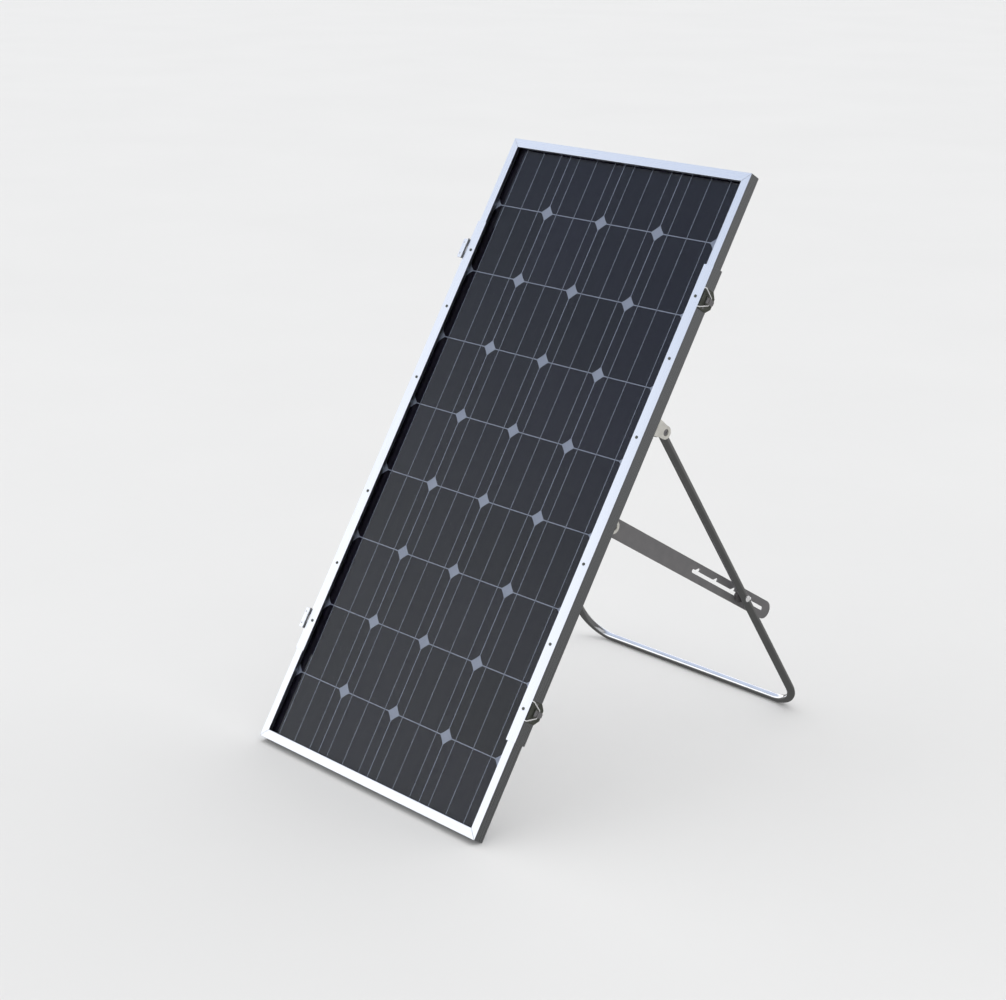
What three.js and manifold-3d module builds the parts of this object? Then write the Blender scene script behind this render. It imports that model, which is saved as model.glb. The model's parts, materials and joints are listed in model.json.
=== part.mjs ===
/**
 * Framed solar panel, one leaf of a folding kit, standing on a U-shaped tube leg.
 *
 * Millimetres, +Z up, +X across the panel, the panel leaning back towards +Y.
 * Every piece is drawn flat, in the panel's own frame: x across, y up the slope,
 * z out of the front, with z = 0 on the front face of the frame's lip. One group
 * then tilts the panel and the stand until both rest on the floor.
 */
import * as THREE from 'three';
import { mergeVertices } from 'three/addons/utils/BufferGeometryUtils.js';
import Module from 'manifold-3d';

const wasm = await Module();
wasm.setup();

// ---------------------------------------------------------------- dimensions
const GAP = 0.3; // between pieces that touch

// Frame
const WIDTH = 680;
const HEIGHT = 1417;
const DEPTH = 25;
const LIP_WIDTH = 19;
const LIP_THICKNESS = 2.5;
const WALL = 2;
const SKIRT_THICKNESS = 1.8; // the lip's inner wall, down to the glass
const SKIRT_DEPTH = 9.0;
const GROOVE_FLOOR = 15.6; // depth of the shelf under the laminate
const SHELF_WIDTH = 12;
const SHELF_THICKNESS = 1.8;
const BACK_FLANGE = 30;
const MITRE_GAP = 0.2;

// Laminate: an inset all round, and the depths of each layer
const LAMINATE_INSET = 3;
const SEAL_DEPTHS = [9.3, 9.7];
const GLASS_DEPTHS = [10.0, 13.2];
const CELL_DEPTHS = [13.5, 14.3];
const BACKSHEET_DEPTHS = [14.6, 15.2];

// Corner keys
const KEY_LEG = 60;
const KEY_WIDTH = 11.6;
const KEY_DEPTHS = [17.8, 22.6];

// Side channels, folded round both long rails
const CHANNEL_LENGTH = 1014;
const CHANNEL_WEB = 2;
const CHANNEL_FRONT = 1.6;
const CHANNEL_BACK = 3;
const CHANNEL_FRONT_REACH = 23; // inwards from the frame's side face
const CHANNEL_BACK_REACH = 42;
const SCREW_INSET = 12;
const SCREW_HEIGHTS = [-439, -304, -135, 135, 304, 439];
const SCREW_HEAD_R = 3.2;
const SCREW_HEAD_H = 1.5;
const SCREW_SHANK_R = 1.6;

// Stand
const LEG_X = 322; // centre line of each side tube
const TUBE_R = 9;
const TUBE_BORE_R = 7.5;
const TUBE_SIDES = 16;
const LEG_BEND_R = 70;
const LEG_LENGTH = 870; // pivot to the middle of the floor bar
const LEG_ANGLE = THREE.MathUtils.degToRad(65.25); // leg to panel, when it stands
const LEG_PIVOT = { y: 172, depth: 65 };
const TUBE_TAIL = 12; // tube beyond the pivot
const STUD_REACH = 503.2; // pivot to stud, along the leg
const RIVET_R = 3.5;
const STAY_PIVOT = { y: -39.5, depth: 60 };
const STAY_X = 302; // inner face
const STAY_THICKNESS = 3;
const STAY_HALF_WIDTH = 20;
const STAY_LENGTH = 563; // pivot to the centre of the round tip
const SLOT_HALF_WIDTH = 4;
const SLOT_START = 288.5; // centres of the slot's round ends
const SLOT_END = 554;
const NOTCH_FIRST = 304;
const NOTCH_PITCH = 67;
const NOTCH_COUNT = 4;
const NOTCH_TOP = 11.5;

// Clevis brackets and their bolts
const CLEVIS_R = 14;
const CLEVIS_BASE = 36;
const CLEVIS_FOOT = 4.4;
const BOLT_R = 4;
const BOLT_CLEARANCE = 0.3;
const BOLT_HEAD_R = 6.5;
const BOLT_HEAD_H = 2.2;
const HEAD_POCKET_R = 7.4;
const HEAD_POCKET_DEPTH = 3;

// Draw latches on the right side, hinges on the left side
const HARDWARE_HEIGHTS = { lower: -439, upper: 439 };
const LATCH_PLATE = { halfHeight: 22, near: 1, far: 37, corner: 11, thickness: 2 };
const LEVER_PIVOT = { out: 5.4, depth: 14 }; // out from the plate's inner face
const BAIL_PIVOT = { out: 6.9, depth: 21 };
const LEVER_HALF_WIDTH = 6;
const WIRE_R = 1.2;
const HINGE = { halfHeight: 22, thickness: 1.5, knuckleR: 2.6, knuckleHalf: 7.5, pinR: 1.4, foldRoom: 1.2 };
const HINGE_AXIS = { out: 3, front: 3.2 };

// Junction box
const BOX = { y: 560, width: 108, height: 86, depths: [15.5, 28], wall: 2 };
const GLAND_X = 26;

// -------------------------------------------------------------------- finishes
const finish = (color, roughness, metalness) =>
  new THREE.MeshStandardMaterial({ color, roughness, metalness });
const ANODISED = finish(0xc9cdd4, 0.38, 0.9);
const GREY_STEEL = finish(0x6a686b, 0.45, 0.8);
const CHROME = finish(0xb9bcc0, 0.14, 1.0);
const DARK_STEEL = finish(0x3c3c3e, 0.5, 0.8);
const NYLON = finish(0xc6c4be, 0.5, 0.0);
const GLASS = finish(0x9fb0c4, 0.06, 0.0);
const SILICON = finish(0x2a2a35, 0.3, 0.2);
const WHITE_FILM = finish(0xe6e7e8, 0.6, 0.0);
const BLACK_RUBBER = finish(0x222324, 0.75, 0.0);
const BLACK_PLASTIC = finish(0x1e1f21, 0.5, 0.0);

// --------------------------------------------------------------------- helpers
const X_AXIS = new THREE.Vector3(1, 0, 0);
const Y_AXIS = new THREE.Vector3(0, 1, 0);
const Z_AXIS = new THREE.Vector3(0, 0, 1);

/** A named mesh. */
function piece(name, geometry, material) {
  const mesh = new THREE.Mesh(geometry, material);
  mesh.name = name;
  return mesh;
}

/** A group of pieces. */
function assembly(...pieces) {
  const group = new THREE.Group();
  group.add(...pieces);
  return group;
}

/** The manifold solid inside a closed geometry. */
function solidOf(geometry) {
  const bare = new THREE.BufferGeometry();
  bare.setAttribute('position', geometry.getAttribute('position').clone());
  if (geometry.index) bare.setIndex(geometry.index.clone());
  const merged = mergeVertices(bare, 1e-4);
  return new wasm.Manifold(new wasm.Mesh({
    numProp: 3,
    vertProperties: new Float32Array(merged.getAttribute('position').array),
    triVerts: new Uint32Array(merged.index.array),
  }));
}

/** The geometry of a manifold solid. */
function geometryOf(solid) {
  const mesh = solid.getMesh();
  const geometry = new THREE.BufferGeometry();
  geometry.setAttribute('position', new THREE.BufferAttribute(new Float32Array(mesh.vertProperties), 3));
  geometry.setIndex(new THREE.BufferAttribute(new Uint32Array(mesh.triVerts), 1));
  geometry.computeVertexNormals();
  return geometry;
}

/** One geometry with the others joined to it. */
const join = (first, ...others) =>
  geometryOf(others.reduce((sum, other) => sum.add(solidOf(other)), solidOf(first)));

/** One geometry with the others cut from it. */
const cut = (first, ...others) =>
  geometryOf(others.reduce((rest, other) => rest.subtract(solidOf(other)), solidOf(first)));

/** A box between two corners. */
function block([x0, x1], [y0, y1], [z0, z1]) {
  return new THREE.BoxGeometry(x1 - x0, y1 - y0, z1 - z0)
    .translate((x0 + x1) / 2, (y0 + y1) / 2, (z0 + z1) / 2);
}

/** A cylinder along x, from x0 to x1, about the line through (y, z). */
function rodX(radius, [x0, x1], y, z, sides = 16) {
  return new THREE.CylinderGeometry(radius, radius, x1 - x0, sides)
    .rotateZ(-Math.PI / 2)
    .translate((x0 + x1) / 2, y, z);
}

/** A cylinder along y, from y0 to y1, about the line through (x, z). */
function rodY(radius, [y0, y1], x, z, sides = 16) {
  return new THREE.CylinderGeometry(radius, radius, y1 - y0, sides)
    .translate(x, (y0 + y1) / 2, z);
}

/** A turned piece about x: the profile is pairs of radius and x. */
function turnedX(profile, y, z, sides = 16) {
  const points = profile.map(([radius, along]) => new THREE.Vector2(radius, along));
  return new THREE.LatheGeometry(points, sides).rotateZ(-Math.PI / 2).translate(0, y, z);
}

/** An outline of (y, z) points as a plate from x0 to x1. */
function plateX(shape, [x0, x1], curveSegments = 10) {
  const basis = new THREE.Matrix4().makeBasis(Y_AXIS, Z_AXIS, X_AXIS);
  return new THREE.ExtrudeGeometry(shape, { depth: x1 - x0, bevelEnabled: false, curveSegments })
    .applyMatrix4(basis)
    .translate(x0, 0, 0);
}

/** A closed outline of straight edges. */
const outline = (points) => new THREE.Shape(points.map(([a, b]) => new THREE.Vector2(a, b)));

/** A section of (x, z) points as a bar along y, centred on y = 0. */
function barY(points, length) {
  const basis = new THREE.Matrix4().makeBasis(X_AXIS, Z_AXIS, Y_AXIS.clone().negate());
  return new THREE.ExtrudeGeometry(outline(points), { depth: length, bevelEnabled: false })
    .applyMatrix4(basis)
    .translate(0, length / 2, 0);
}

/** A geometry mirrored in the plane x = 0, still facing outwards. */
function mirrored(geometry) {
  const copy = geometry.index ? geometry.toNonIndexed() : geometry.clone();
  copy.scale(-1, 1, 1);
  const position = copy.getAttribute('position');
  const array = position.array;
  for (let i = 0; i < position.count; i += 3) {
    for (let axis = 0; axis < 3; axis += 1) {
      const a = (i + 1) * 3 + axis;
      const b = (i + 2) * 3 + axis;
      [array[a], array[b]] = [array[b], array[a]];
    }
  }
  copy.computeVertexNormals();
  return copy;
}

/** The right-hand geometry, or its mirror image for the left. */
const sided = (side, geometry) => (side === 'left' ? mirrored(geometry) : geometry);

// ----------------------------------------------------------------- the laminate
/** Seal, glass, cell layer and backsheet, held in the frame's groove. */
function laminate() {
  const halfWidth = WIDTH / 2 - LAMINATE_INSET;
  const halfHeight = HEIGHT / 2 - LAMINATE_INSET;
  const sheet = ([near, far]) =>
    block([-halfWidth, halfWidth], [-halfHeight, halfHeight], [-far, -near]);

  const sealInner = LIP_WIDTH - LAMINATE_INSET - 0.5;
  const window = block(
    [-halfWidth + sealInner, halfWidth - sealInner],
    [-halfHeight + sealInner, halfHeight - sealInner],
    [-DEPTH, DEPTH],
  );
  return assembly(
    piece('front_seal', cut(sheet(SEAL_DEPTHS), window), BLACK_RUBBER),
    piece('front_glass', sheet(GLASS_DEPTHS), GLASS),
    piece('cell_laminate', sheet(CELL_DEPTHS), SILICON),
    piece('backsheet', sheet(BACKSHEET_DEPTHS), WHITE_FILM),
  );
}

// -------------------------------------------------------------------- the frame
/** A rail along y with its outer face at x = 0 and both ends mitred. */
function mitredRail(length) {
  const shelfBack = GROOVE_FLOOR + SHELF_THICKNESS;
  const section = [
    [0, 0], [LIP_WIDTH, 0], [LIP_WIDTH, SKIRT_DEPTH], [LIP_WIDTH - SKIRT_THICKNESS, SKIRT_DEPTH],
    [LIP_WIDTH - SKIRT_THICKNESS, LIP_THICKNESS], [WALL, LIP_THICKNESS],
    [WALL, GROOVE_FLOOR], [SHELF_WIDTH, GROOVE_FLOOR], [SHELF_WIDTH, shelfBack], [WALL, shelfBack],
    [WALL, DEPTH - WALL], [BACK_FLANGE, DEPTH - WALL], [BACK_FLANGE, DEPTH], [0, DEPTH],
  ].map(([inset, depth]) => [-inset, -depth]);
  const geometry = barY(section, length);
  const position = geometry.getAttribute('position');
  for (let i = 0; i < position.count; i += 1) {
    const inset = -position.getX(i);
    position.setY(i, Math.sign(position.getY(i)) * (length / 2 - inset - MITRE_GAP));
  }
  return geometry;
}

/** Four mitred rails and the four keys that join their corners. */
function frame() {
  const screwHoles = (x) => SCREW_HEIGHTS.map((y) =>
    new THREE.CylinderGeometry(SCREW_SHANK_R + GAP, SCREW_SHANK_R + GAP, 8, 12).rotateX(Math.PI / 2)
      .translate(x, y, 0));
  const longRail = cut(mitredRail(HEIGHT), ...screwHoles(-SCREW_INSET));
  const shortRail = mitredRail(WIDTH);

  const rails = [
    ['rail_right', longRail, 0, WIDTH / 2, 0],
    ['rail_top', shortRail, Math.PI / 2, 0, HEIGHT / 2],
    ['rail_left', longRail, Math.PI, -WIDTH / 2, 0],
    ['rail_bottom', shortRail, -Math.PI / 2, 0, -HEIGHT / 2],
  ].map(([name, geometry, turn, x, y]) => {
    const rail = piece(name, geometry, ANODISED);
    rail.rotation.z = turn;
    rail.position.set(x, y, 0);
    return rail;
  });

  const near = WALL + GAP;
  const wide = near + KEY_WIDTH;
  const long = near + KEY_LEG;
  const keyOutline = outline([
    [-near, -near], [-long, -near], [-long, -wide], [-wide, -wide], [-wide, -long], [-near, -long],
  ]);
  const keyGeometry = new THREE.ExtrudeGeometry(keyOutline, {
    depth: KEY_DEPTHS[1] - KEY_DEPTHS[0],
    bevelEnabled: false,
  }).translate(0, 0, -KEY_DEPTHS[1]);
  const keys = [
    ['corner_key_top_right', 0, 1, 1],
    ['corner_key_top_left', Math.PI / 2, -1, 1],
    ['corner_key_bottom_left', Math.PI, -1, -1],
    ['corner_key_bottom_right', -Math.PI / 2, 1, -1],
  ].map(([name, turn, sideX, sideY]) => {
    const key = piece(name, keyGeometry, GREY_STEEL);
    key.rotation.z = turn;
    key.position.set(sideX * WIDTH / 2, sideY * HEIGHT / 2, 0);
    return key;
  });
  return assembly(...rails, ...keys);
}

// ------------------------------------------------------------- the side channels
const CHANNEL_OUT = WIDTH / 2 + GAP + CHANNEL_WEB; // outer face of the web
const CHANNEL_FACE = GAP + CHANNEL_FRONT; // front face of the front flange
const CHANNEL_REAR = DEPTH + GAP + CHANNEL_BACK; // depth of the back face

/** A channel folded round one long rail, with its row of screws. */
function sideChannel(side) {
  const inner = WIDTH / 2 + GAP;
  const section = [
    [CHANNEL_OUT, CHANNEL_FACE], [WIDTH / 2 - CHANNEL_FRONT_REACH, CHANNEL_FACE],
    [WIDTH / 2 - CHANNEL_FRONT_REACH, GAP], [inner, GAP],
    [inner, -DEPTH - GAP], [WIDTH / 2 - CHANNEL_BACK_REACH, -DEPTH - GAP],
    [WIDTH / 2 - CHANNEL_BACK_REACH, -CHANNEL_REAR], [CHANNEL_OUT, -CHANNEL_REAR],
  ];
  const screwX = WIDTH / 2 - SCREW_INSET;
  const holes = SCREW_HEIGHTS.map((y) =>
    new THREE.CylinderGeometry(SCREW_SHANK_R + GAP, SCREW_SHANK_R + GAP, 8, 12).rotateX(Math.PI / 2)
      .translate(screwX, y, 0));
  const channel = piece(
    `side_channel_${side}`,
    sided(side, cut(barY(section, CHANNEL_LENGTH), ...holes)),
    ANODISED,
  );

  const seat = CHANNEL_FACE + GAP / 2;
  const screwProfile = [
    [0, -LIP_THICKNESS], [SCREW_SHANK_R, -LIP_THICKNESS], [SCREW_SHANK_R, seat], [SCREW_HEAD_R, seat],
    [SCREW_HEAD_R, seat + SCREW_HEAD_H / 2], [SCREW_HEAD_R * 0.7, seat + SCREW_HEAD_H], [0, seat + SCREW_HEAD_H],
  ].map(([radius, along]) => new THREE.Vector2(radius, along));
  const screwGeometry = new THREE.LatheGeometry(screwProfile, 12).rotateX(Math.PI / 2);
  const screws = SCREW_HEIGHTS.map((y, index) => {
    const screw = piece(`channel_screw_${side}_${index + 1}`, screwGeometry, DARK_STEEL);
    screw.position.set(side === 'left' ? -screwX : screwX, y, 0);
    return screw;
  });
  return assembly(channel, ...screws);
}

// --------------------------------------------------------------------- the stand
/** The centre line of the U-shaped tube: down one leg, across the floor, up the other. */
class UTubeCurve extends THREE.Curve {
  constructor(halfWidth, tail, length, bendRadius, bendSteps) {
    super();
    const bend = (sign, fromSide) => Array.from({ length: bendSteps + 1 }, (_, i) => {
      const angle = (Math.PI / 2) * (i / bendSteps);
      const swing = fromSide ? angle : Math.PI / 2 - angle;
      return new THREE.Vector3(
        sign * (halfWidth - bendRadius + bendRadius * Math.cos(swing)),
        -(length - bendRadius + bendRadius * Math.sin(swing)),
        0,
      );
    });
    this.stations = [
      new THREE.Vector3(halfWidth, tail, 0),
      ...bend(1, true),
      ...bend(-1, false),
      new THREE.Vector3(-halfWidth, tail, 0),
    ];
  }

  getPoint(t, target = new THREE.Vector3()) {
    const last = this.stations.length - 1;
    const place = Math.min(Math.max(t, 0), 1) * last;
    const index = Math.min(Math.floor(place), last - 1);
    return target.lerpVectors(this.stations[index], this.stations[index + 1], place - index);
  }

  getPointAt(u, target) {
    return this.getPoint(u, target);
  }

  /** At a station the tangent is halfway between the two stretches that meet there. */
  getTangentAt(u, target = new THREE.Vector3()) {
    const half = 0.5 / (this.stations.length - 1);
    const ahead = this.getPoint(u + half);
    const behind = this.getPoint(u - half);
    const here = this.getPoint(u);
    const onward = ahead.sub(here);
    const inward = here.clone().sub(behind);
    if (onward.lengthSq() > 0) onward.normalize();
    if (inward.lengthSq() > 0) inward.normalize();
    return target.copy(onward.add(inward).normalize());
  }

  get steps() {
    return this.stations.length - 1;
  }
}

/** The bent tube that stands on the floor, with its bolt and rivet holes. */
function legTube() {
  const curve = new UTubeCurve(LEG_X, TUBE_TAIL, LEG_LENGTH, LEG_BEND_R, 8);
  const ring = new THREE.Shape().absarc(0, 0, TUBE_R, 0, 2 * Math.PI, false);
  ring.holes.push(new THREE.Path().absarc(0, 0, TUBE_BORE_R, 0, 2 * Math.PI, true));
  const tube = new THREE.ExtrudeGeometry(ring, {
    steps: curve.steps,
    extrudePath: curve,
    curveSegments: TUBE_SIDES / 2,
  });
  const across = [-LEG_X - 2 * TUBE_R, LEG_X + 2 * TUBE_R];
  return cut(
    tube,
    rodX(BOLT_R + BOLT_CLEARANCE, across, 0, 0),
    rodX(RIVET_R + GAP, across, -STUD_REACH, 0, 16),
  );
}

/** A rivet through the leg, with its domed head outside. */
function legRivet(side) {
  const seat = LEG_X + TUBE_R + GAP;
  const profile = [
    [0, LEG_X - TUBE_R], [RIVET_R, LEG_X - TUBE_R], [RIVET_R, seat], [RIVET_R * 2, seat],
    [RIVET_R * 1.8, seat + 1.2], [RIVET_R * 1.1, seat + 2.2], [0, seat + 2.6],
  ];
  return piece(`leg_rivet_${side}`, sided(side, turnedX(profile, -STUD_REACH, 0)), CHROME);
}

/** The stay: a flat bar with a round tip and a long slot with hooked notches. */
function stayGeometry() {
  const shape = new THREE.Shape();
  shape.moveTo(-STAY_HALF_WIDTH, 0);
  shape.absarc(0, 0, STAY_HALF_WIDTH, Math.PI, 0, true);
  shape.absarc(0, -STAY_LENGTH, STAY_HALF_WIDTH, 0, Math.PI, true);
  shape.closePath();

  const slot = new THREE.Shape();
  slot.moveTo(SLOT_HALF_WIDTH, -SLOT_START);
  slot.absarc(0, -SLOT_START, SLOT_HALF_WIDTH, 0, Math.PI, false);
  slot.absarc(0, -SLOT_END, SLOT_HALF_WIDTH, Math.PI, 2 * Math.PI, false);
  slot.closePath();

  const deep = [STAY_X - 5, STAY_X + STAY_THICKNESS + 5];
  const notches = Array.from({ length: NOTCH_COUNT }, (_, index) => {
    const z = -(NOTCH_FIRST + index * NOTCH_PITCH);
    return plateX(outline([
      [0, z + 13], [SLOT_HALF_WIDTH, z + 10], [NOTCH_TOP - 1, z + 1], [NOTCH_TOP, z - 2],
      [NOTCH_TOP - 1.5, z - 4.5], [SLOT_HALF_WIDTH, z - 4.5], [0, z - 4.5],
    ]), deep);
  });
  return cut(
    plateX(shape, [STAY_X, STAY_X + STAY_THICKNESS], 14),
    rodX(BOLT_R + BOLT_CLEARANCE, deep, 0, 0),
    plateX(slot, deep),
    ...notches,
  );
}

/** The stud that rides in the slot: a spacer disc, a shoulder and an inner cap. */
function slotSlider(side) {
  const shoulder = SLOT_HALF_WIDTH - 0.4;
  const outerFace = STAY_X + STAY_THICKNESS + GAP;
  const profile = [
    [0, STAY_X - 4.5], [6, STAY_X - 4.5], [8, STAY_X - 3], [8, STAY_X - GAP],
    [shoulder, STAY_X - GAP], [shoulder, outerFace], [13, outerFace],
    [13, LEG_X - TUBE_R - 1.2], [12, LEG_X - TUBE_R - 0.4], [0, LEG_X - TUBE_R - 0.4],
  ];
  return piece(`slot_slider_${side}`, sided(side, turnedX(profile, 0, -STUD_ALONG_STAY, 24)), BLACK_PLASTIC);
}

/** A clevis: a foot on the channel's back face and two round-ended cheeks. */
function clevis(cheeks, pivot) {
  const foot = -(CHANNEL_REAR + GAP);
  const half = CLEVIS_BASE / 2;
  const shape = new THREE.Shape();
  shape.moveTo(-half, foot);
  shape.lineTo(-half, foot - CLEVIS_FOOT);
  shape.lineTo(-CLEVIS_R, -pivot.depth + 6);
  shape.lineTo(-CLEVIS_R, -pivot.depth);
  shape.absarc(0, -pivot.depth, CLEVIS_R, Math.PI, 2 * Math.PI, false);
  shape.lineTo(CLEVIS_R, -pivot.depth + 6);
  shape.lineTo(half, foot - CLEVIS_FOOT);
  shape.lineTo(half, foot);
  shape.closePath();

  const [inner, outer] = cheeks;
  const across = [inner[0], outer[1]];
  const body = plateX(shape, across, 12);
  const mouth = block([inner[1], outer[0]], [-CLEVIS_BASE, CLEVIS_BASE],
    [-pivot.depth - 2 * CLEVIS_R, foot - CLEVIS_FOOT]);
  const bore = rodX(BOLT_R + BOLT_CLEARANCE, [across[0] - 1, across[1] + 1], 0, -pivot.depth);
  const pocket = rodX(HEAD_POCKET_R, [across[1] - HEAD_POCKET_DEPTH, across[1] + 1], 0, -pivot.depth, 24);
  return cut(body, mouth, bore, pocket).translate(0, pivot.y, 0);
}

/** A pivot bolt along x: recessed head outside, nut inside. */
function pivotBolt([x0, x1], pivot) {
  const head = x1 - HEAD_POCKET_DEPTH + GAP;
  const nut = x0 - GAP;
  const profile = [
    [0, nut - 5], [5.5, nut - 5], [6.5, nut - 4.2], [6.5, nut], [BOLT_R, nut],
    [BOLT_R, head], [BOLT_HEAD_R, head], [BOLT_HEAD_R, head + BOLT_HEAD_H - 0.6],
    [BOLT_HEAD_R - 0.8, head + BOLT_HEAD_H], [0, head + BOLT_HEAD_H],
  ];
  return turnedX(profile, pivot.y, -pivot.depth);
}

const LEG_CHEEKS = [[LEG_X - 14.5, LEG_X - 9.5], [LEG_X + 9.5, LEG_X + 14.5]];
const STAY_CHEEKS = [
  [STAY_X - 6.5, STAY_X - 0.5],
  [STAY_X + STAY_THICKNESS + 0.5, STAY_X + STAY_THICKNESS + 6.5],
];

/** Where the stud stands in the panel's frame when the leg is out. */
const STUD = {
  y: LEG_PIVOT.y - STUD_REACH * Math.cos(LEG_ANGLE),
  depth: LEG_PIVOT.depth + STUD_REACH * Math.sin(LEG_ANGLE),
};
const STUD_ALONG_STAY = Math.hypot(STUD.y - STAY_PIVOT.y, STUD.depth - STAY_PIVOT.depth);
const STAY_TURN = Math.atan2(STUD.y - STAY_PIVOT.y, STUD.depth - STAY_PIVOT.depth);

/** The whole stand: brackets, bolts, the U-shaped leg and both stays. */
function stand() {
  const group = new THREE.Group();
  for (const side of ['left', 'right']) {
    const legSpan = [LEG_CHEEKS[0][0], LEG_CHEEKS[1][1]];
    const staySpan = [STAY_CHEEKS[0][0], STAY_CHEEKS[1][1]];
    group.add(
      piece(`leg_bracket_${side}`, sided(side, clevis(LEG_CHEEKS, LEG_PIVOT)), NYLON),
      piece(`leg_bolt_${side}`, sided(side, pivotBolt(legSpan, LEG_PIVOT)), DARK_STEEL),
      piece(`stay_bracket_${side}`, sided(side, clevis(STAY_CHEEKS, STAY_PIVOT)), NYLON),
      piece(`stay_bolt_${side}`, sided(side, pivotBolt(staySpan, STAY_PIVOT)), DARK_STEEL),
    );
    const stay = assembly(
      piece(`stay_${side}`, sided(side, stayGeometry()), GREY_STEEL),
      slotSlider(side),
    );
    stay.position.set(0, STAY_PIVOT.y, -STAY_PIVOT.depth);
    stay.rotation.x = STAY_TURN;
    group.add(stay);
  }
  const leg = assembly(piece('leg_tube', legTube(), CHROME), legRivet('left'), legRivet('right'));
  leg.position.set(0, LEG_PIVOT.y, -LEG_PIVOT.depth);
  leg.rotation.x = LEG_ANGLE;
  group.add(leg);
  return group;
}

// ---------------------------------------------------------------- latches, hinges
/** The latch's plate, with two ears that carry the lever. */
function latchPlate() {
  const { halfHeight, near, far, corner, thickness } = LATCH_PLATE;
  const shape = outline([
    [-halfHeight, -near], [-halfHeight, corner - far], [corner - halfHeight, -far],
    [halfHeight - corner, -far], [halfHeight, corner - far], [halfHeight, -near],
  ]);
  const inner = CHANNEL_OUT + GAP;
  const pivotX = inner + LEVER_PIVOT.out;
  const ears = [-1, 1].map((sign) => {
    const ends = [sign * (LEVER_HALF_WIDTH + 0.5), sign * (LEVER_HALF_WIDTH + 2.2)].sort((a, b) => a - b);
    return block([inner + thickness / 2, pivotX + 2.6], ends, [-LEVER_PIVOT.depth - 2.6, -LEVER_PIVOT.depth + 2.6]);
  });
  const bore = rodY(2.1, [-halfHeight, halfHeight], pivotX, -LEVER_PIVOT.depth);
  return cut(join(plateX(shape, [inner, inner + thickness]), ...ears), bore);
}

/** The lever: a barrel with its pin ends, a thumb plate and the eye that carries the bail. */
function latchLever() {
  const x = CHANNEL_OUT + GAP + LEVER_PIVOT.out;
  const eyeX = CHANNEL_OUT + GAP + BAIL_PIVOT.out;
  const half = LEVER_HALF_WIDTH;
  const plate = plateX(outline([
    [-half, -LEVER_PIVOT.depth], [-half, -30], [-half + 2.5, -34], [half - 2.5, -34],
    [half, -30], [half, -LEVER_PIVOT.depth],
  ]), [x - 1, x + 1.2]);
  const barrel = rodY(2.5, [-half, half], x, -LEVER_PIVOT.depth);
  const pin = rodY(1.8, [-half - 2.6, half + 2.6], x, -LEVER_PIVOT.depth);
  const eye = rodY(2.5, [-half, half], eyeX, -BAIL_PIVOT.depth);
  const eyeBore = rodY(WIRE_R + GAP, [-half - 1, half + 1], eyeX, -BAIL_PIVOT.depth, 12);
  return cut(join(plate, barrel, pin, eye), eyeBore);
}

/** The wire bail: through the lever's eye, out to both corners, and hooked over the front. */
function latchBail() {
  const x = CHANNEL_OUT + GAP + BAIL_PIVOT.out;
  const half = [
    [x, 0, -BAIL_PIVOT.depth], [x, 4, -BAIL_PIVOT.depth], [x, 6.6, -BAIL_PIVOT.depth],
    [x, 8.6, -BAIL_PIVOT.depth + 1.2], [x, 12.4, -12], [x, 19, 1.5],
    [x - 1.2, 20, 3.9], [x - 4.6, 20, 4.4],
  ];
  const points = [
    ...half.slice(1).reverse().map(([px, py, pz]) => [px, -py, pz]),
    ...half,
  ].map(([px, py, pz]) => new THREE.Vector3(px, py, pz));
  const curve = new THREE.CatmullRomCurve3(points, false, 'catmullrom', 0.3);
  const section = new THREE.Shape().absarc(0, 0, WIRE_R, 0, 2 * Math.PI, false);
  return new THREE.ExtrudeGeometry(section, { steps: 56, extrudePath: curve, curveSegments: 4 });
}

/** A draw latch on the right side. */
function latch(level) {
  const group = assembly(
    piece(`latch_plate_${level}`, latchPlate(), DARK_STEEL),
    piece(`latch_lever_${level}`, latchLever(), GREY_STEEL),
    piece(`latch_bail_${level}`, latchBail(), CHROME),
  );
  group.position.y = HARDWARE_HEIGHTS[level];
  return group;
}

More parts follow.
